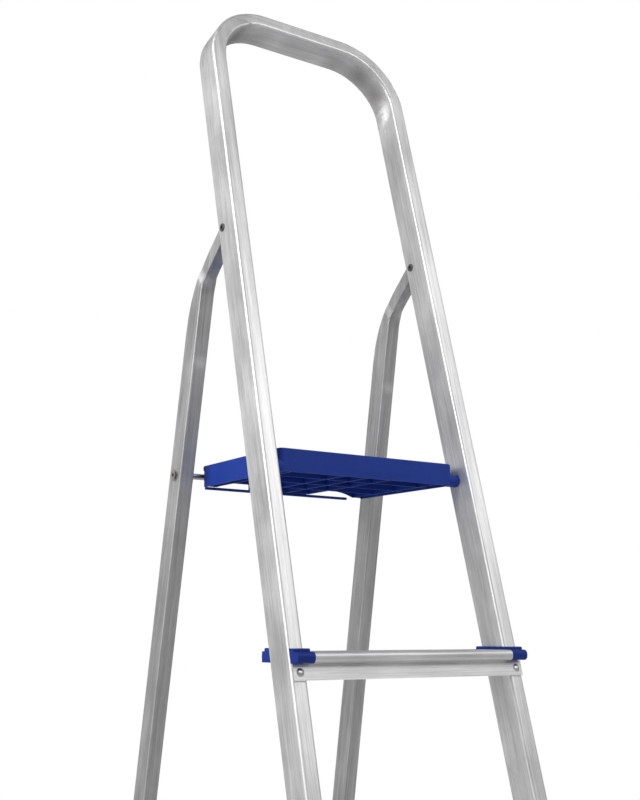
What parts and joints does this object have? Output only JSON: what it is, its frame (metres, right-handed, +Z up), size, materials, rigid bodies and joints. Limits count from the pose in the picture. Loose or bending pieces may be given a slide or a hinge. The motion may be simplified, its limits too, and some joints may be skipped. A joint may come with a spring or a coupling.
{
  "type": "platform step ladder",
  "caption": "Folding aluminium platform step ladder: bent tubular handrail, flat treads, swing-out rear legs and a plastic platform that hooks over a steel rod.",
  "frame": {"origin": "floor level at the middle of the open ladder's footprint", "axes": "+Z up, -Y the climbing side with the treads, X left to right"},
  "size_m": [0.3722, 0.7784, 1.8298],
  "materials": {
    "frame_aluminium": "satin, drawn lengthwise",
    "tread_aluminium": "satin, drawn lengthwise",
    "leg_aluminium": "satin, duller than the front frame",
    "brace_aluminium": "satin",
    "rod_steel": "zinc plated",
    "rivet_metal": "plain",
    "platform_plastic": "moulded, slight sheen",
    "cap_plastic": "moulded, slight sheen",
    "foot_plastic": "moulded, scuffed"
  },
  "bodies": {
    "front_section": {"front_frame": "frame_aluminium", "tread_1": "tread_aluminium", "tread_2": "tread_aluminium", "tread_3": "tread_aluminium", "tread_4": "tread_aluminium", "tread_cap_left_1": "cap_plastic", "tread_cap_right_1": "cap_plastic", "tread_cap_left_2": "cap_plastic", "tread_cap_right_2": "cap_plastic", "tread_cap_left_3": "cap_plastic", "tread_cap_right_3": "cap_plastic", "tread_cap_left_4": "cap_plastic", "tread_cap_right_4": "cap_plastic", "tread_rivets": "rivet_metal", "pivot_rivet_left": "rivet_metal", "pivot_rivet_right": "rivet_metal", "front_foot_left": "foot_plastic", "front_foot_right": "foot_plastic"},
    "rear_section": {"rear_leg_left": "leg_aluminium", "rear_leg_right": "leg_aluminium", "support_rod": "rod_steel", "rod_washers": "rod_steel", "rear_brace_lower": "brace_aluminium", "rear_brace_upper": "brace_aluminium", "brace_rivets": "rivet_metal", "rear_foot_left": "foot_plastic", "rear_foot_right": "foot_plastic"},
    "platform_section": {"platform": "platform_plastic"}
  },
  "joints": [
    {"name": "rear_legs_fold", "type": "hinge", "parent": "front_section", "child": "rear_section", "pos_m": [0, 0.03702, 1.49131], "axis": [-1, 0, 0], "range_deg": [0, 25.3]},
    {"name": "platform_fold", "type": "hinge", "parent": "front_section", "child": "platform_section", "pos_m": [0, -0.04895, 1.1795], "axis": [1, 0, 0], "range_deg": [0, 75.29]}
  ],
  "couplings": [
    {"joint": "platform_fold", "follows": "rear_legs_fold", "ratio": 2.976}
  ]
}
